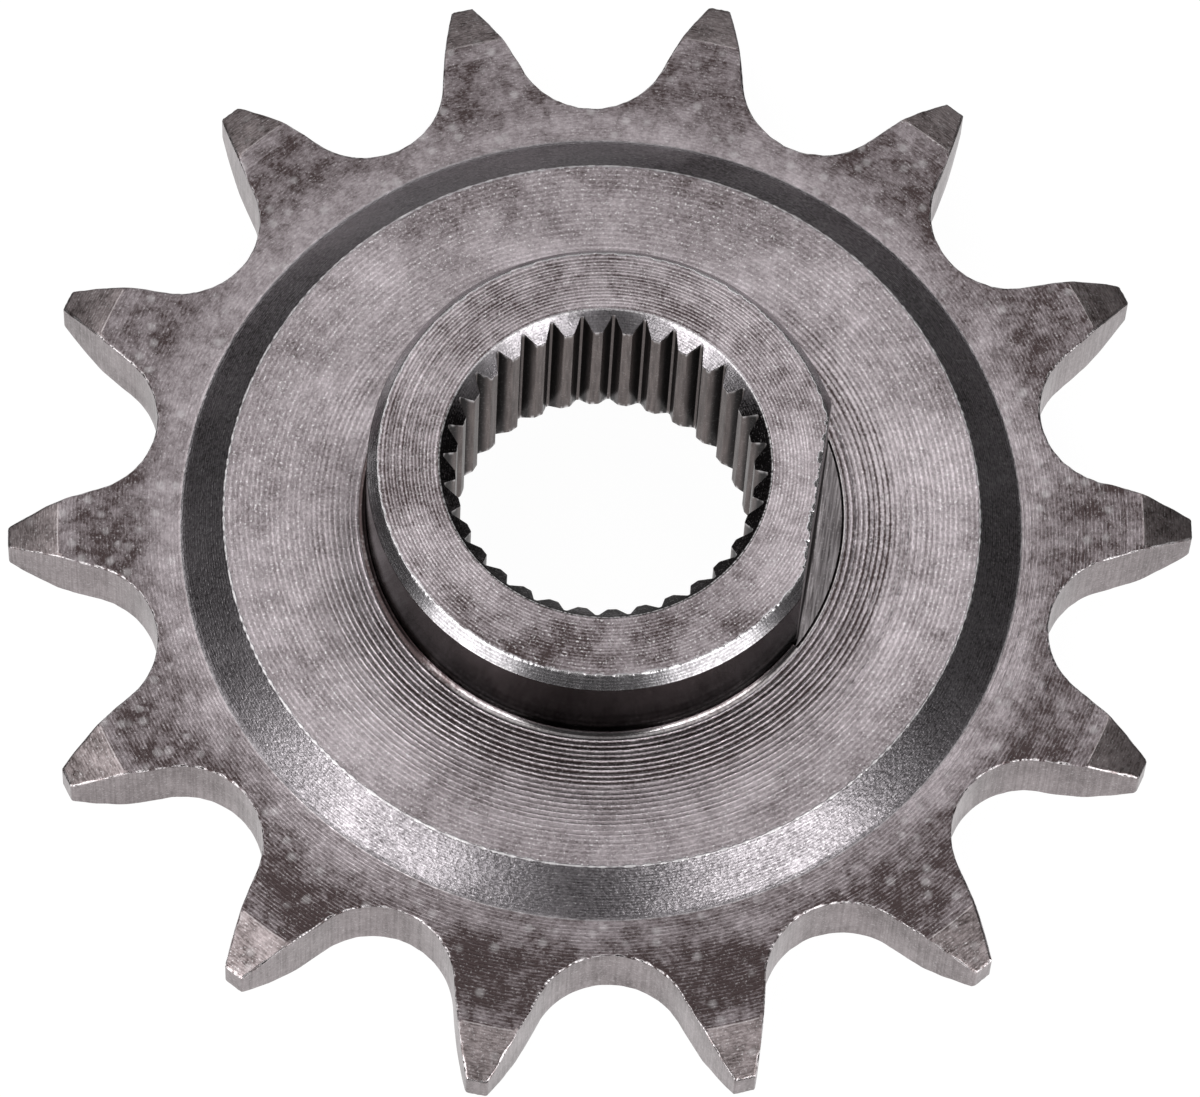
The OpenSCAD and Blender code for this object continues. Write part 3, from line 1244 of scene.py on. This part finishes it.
@dataclass(frozen=True)
class Sprocket:
    """The whole piece: its section runs over a tooth, the back, the bore, the boss and the plateau."""

    toothing: Toothing = field(default_factory=Toothing)
    bore: Bore = field(default_factory=Bore)
    boss: Boss = field(default_factory=Boss)
    disc: Disc = field(default_factory=Disc)
    boss_h: float = 10.8
    columns: int = 1344

    def build(self) -> bpy.types.Object:
        """Builds and dresses the piece.

        Returns:
            The finished object.
        """
        loops = Loops(self.columns)
        rim = self.toothing.rim_t
        self.toothing.face(loops, upper=True)
        self.toothing.face(loops, upper=False)
        self.disc.recess(loops)
        self.bore.climb(loops, self.disc.recess_depth, rim + self.boss_h)
        foot = rim + self.disc.plateau_h - self.disc.dish_depth
        self.boss.descend(loops, rim + self.boss_h, foot)
        self.disc.plateau(loops, rim)
        mesh = loops.mesh("sprocket_steel")
        for zone in Zone:
            mesh.materials.append(FINISHES[zone].build())
        piece = put("sprocket_steel", mesh)
        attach(piece, "root")
        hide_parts("sprocket")
        LOG.info("%s: %d loops, %d faces", piece.name, len(loops.points), len(mesh.polygons))
        return piece


@dataclass(frozen=True)
class Studio:
    """Camera, floor, lamps and surroundings.

    A span says between which components of its direction a part of the surroundings fades in.
    """

    target: tuple[float, float, float] = (-0.128, -1.712, 5.8)
    azimuth: float = 4.588
    elevation: float = 67.948
    roll: float = 3.868
    distance: float = 663.309
    lens: float = 300.07
    lamps: Pairs = ((223.4, 23.0), (307.4, 23.0))
    lamp_distance: float = 1.2
    lamp_size: float = 0.72
    lamp_light: float = 4.2
    ceiling_light: float = 1.0
    ceiling_left: Span = (-0.72, -0.50)
    ceiling_right: Span = (0.60, 0.40)
    ceiling_front: Span = (-0.62, -0.34)
    ceiling_height: Span = (0.45, 0.72)
    ceiling_seam: Span = (0.002, 0.05)
    wall_light: float = 0.44
    wall_height: Span = (0.10, 0.26)
    skirt_light: float = 0.4
    skirt_height: Span = (0.06, 0.04)
    wing_light: float = 1.15
    wing_edge: Span = (0.86, 0.985)
    room_light: float = 0.05
    floor_half: float = 3.0
    floor_z: float = -0.00002
    floor_grey: float = 0.82
    floor_glow: float = 1.07
    floor_share: float = 0.9
    flag_light: float = 0.04
    flag_steps: int = 96
    flag_inner: float = 43.0
    flag_outer: float = 700.0
    lamp_patch_width: float = 28.0
    lamp_patch_glow: float = 2.2
    far_light: float = 0.12

    def camera(self) -> bpy.types.Object:
        """Places the camera at the photograph's angle.

        Returns:
            The camera.
        """
        a, e, t = (math.radians(v) for v in (self.azimuth, self.elevation, self.roll))
        back = Vector((-math.cos(e) * math.sin(a), -math.cos(e) * math.cos(a), math.sin(e)))
        right = Vector((math.cos(a), -math.sin(a), 0.0))
        up = back.cross(right)
        across = math.cos(t) * right + math.sin(t) * up
        upward = -math.sin(t) * right + math.cos(t) * up
        data = bpy.data.cameras.new("camera")
        data.sensor_width = 36.0
        data.lens = self.lens
        data.clip_start, data.clip_end = 0.05, 20.0
        eye = put("camera", data)
        place = (Vector(self.target) + back * self.distance) * MM
        eye.matrix_world = Matrix.Translation(place) @ Matrix((across, upward, back)).transposed().to_4x4()
        bpy.context.scene.camera = eye
        return eye

    def floor(self) -> bpy.types.Object:
        """Makes the pale floor, which shows white and keeps the object's shadow.

        Returns:
            The floor.
        """
        half, low = self.floor_half, self.floor_z
        mesh = bpy.data.meshes.new("floor")
        square = [(-half, -half, low), (half, -half, low), (half, half, low), (-half, half, low)]
        mesh.from_pydata(square, [], [(0, 1, 2, 3)])
        made, graph = blank("floor")
        paper = graph.add("ShaderNodeBsdfDiffuse", {}, {"Color": (*[self.floor_grey] * 3, 1.0)})
        glow = graph.add("ShaderNodeEmission", {}, {"Color": WHITE, "Strength": self.floor_glow})
        path = graph.add("ShaderNodeLightPath", {}, {})
        seen = Sock(graph, path.outputs["Is Camera Ray"])
        for kind in ("Is Glossy Ray", "Is Transmission Ray"):
            seen = seen.most(Sock(graph, path.outputs[kind]))
        parts = {0: seen * self.floor_share, 1: paper.outputs[0], 2: glow.outputs[0]}
        blend = graph.add("ShaderNodeMixShader", {}, parts)
        graph.add("ShaderNodeOutputMaterial", {}, {"Surface": blend.outputs[0]})
        mesh.materials.append(made)
        sheet = put("floor", mesh)
        return sheet

    def table_flag(self) -> bpy.types.Object:
        """Lays a card on the floor round the object: a painted dark reflection, paler at the back, with a
        bright patch towards each lamp as a painted reflection of its light.

        Only reflections see it, so that grazing reflections in the steel keep their contrast.

        Returns:
            The card.
        """
        steps = self.flag_steps
        turn = np.arange(steps) * 2 * np.pi / steps
        ring = np.stack([np.cos(turn), np.sin(turn), np.full(steps, 0.5 * MM)], 1)
        inner = ring * (self.flag_inner * MM, self.flag_inner * MM, 1.0)
        outer = ring * (self.flag_outer * MM, self.flag_outer * MM, 1.0)
        index = np.arange(steps)
        beside = np.roll(index, -1)
        mesh = bpy.data.meshes.new("table_flag")
        quads = np.stack([index, index + steps, beside + steps, beside], 1)
        mesh.from_pydata(np.concatenate([inner, outer]), [], quads)
        made, graph = blank("table_flag")
        at = Place.of(graph)
        # Painted reflections: a dark glow, paler at the back, and a bright patch towards each lamp
        light = self.flag_light + self.far_light * (at.y / at.radius).between(0.4, 0.95)
        for azimuth, _ in self.lamps:
            facing = at.reach(azimuth) / at.radius
            half = math.radians(self.lamp_patch_width / 2)
            light = light + self.lamp_patch_glow * facing.between(math.cos(half * 1.35), math.cos(half * 0.75))
        glow = graph.add("ShaderNodeEmission", {}, {"Color": WHITE, "Strength": light})
        graph.add("ShaderNodeOutputMaterial", {}, {"Surface": glow.outputs[0]})
        mesh.materials.append(made)
        card = put("table_flag", mesh)
        card.visible_camera = card.visible_diffuse = card.visible_shadow = False
        return card

    def softbox(self, name: str, azimuth: float, elevation: float) -> None:
        """Adds a square lamp that faces the object.

        Args:
            name: name of the lamp.
            azimuth: direction of the lamp, turned from +X, in degrees.
            elevation: height of the lamp above the floor, in degrees.
        """
        a, e = math.radians(azimuth), math.radians(elevation)
        away = Vector((math.cos(a) * math.cos(e), math.sin(a) * math.cos(e), math.sin(e)))
        data = bpy.data.lights.new(name, "AREA")
        data.shape = "SQUARE"
        data.size = self.lamp_size
        data.energy = math.pi * self.lamp_size**2 * self.lamp_light
        lamp = put(name, data)
        lamp.location = away * self.lamp_distance
        lamp.rotation_mode = "QUATERNION"
        lamp.rotation_quaternion = away.to_track_quat("Z", "Y")

    def surroundings(self) -> None:
        """Dresses the world as a studio: a ceiling that comes down behind, a wing on the left, dim walls.

        The ceiling is dimmer along its seam at x = 0, and the wing faces along (-0.62, -0.06, 0.78).
        """
        world = bpy.data.worlds.new("studio")
        bpy.context.scene.world = world
        world.use_nodes = True
        graph = Graph(world.node_tree)
        way = graph.node("ShaderNodeTexCoord", {}, {}, "Generated")
        split = graph.add("ShaderNodeSeparateXYZ", {}, {0: way})
        x, y, z = (Sock(graph, split.outputs[k]) for k in range(3))
        width = x.between(*self.ceiling_left) * x.between(*self.ceiling_right)
        depth = y.between(*self.ceiling_front)
        top = (0.35 + 1.06 * (x * x).between(*self.ceiling_seam)) * z.between(*self.ceiling_height)
        wall = self.wall_light * z.between(*self.wall_height)
        skirt = z.between(*self.skirt_height) * self.skirt_light
        wing = (z * 0.78 - x * 0.62 - y * 0.06).between(*self.wing_edge) * self.wing_light
        ceiling = width * depth * top.most(wall) * self.ceiling_light
        light = ceiling.most(skirt).most(wing).most(self.room_light)
        back = graph.add("ShaderNodeBackground", {}, {"Color": WHITE, "Strength": light})
        graph.add("ShaderNodeOutputWorld", {}, {"Surface": back.outputs[0]})

    def build(self) -> None:
        """Sets up the whole studio."""
        self.camera()
        self.floor()
        self.table_flag()
        for number, (azimuth, elevation) in enumerate(self.lamps, 1):
            self.softbox(f"softbox_{number}", azimuth, elevation)
        self.surroundings()
        bpy.context.scene.view_settings.view_transform = "Standard"


def main() -> None:
    """Builds the sprocket and its studio."""
    logging.basicConfig(level=logging.INFO, format="%(name)s: %(message)s")
    Sprocket().build()
    Studio().build()


if __name__ == "__main__":
    main()
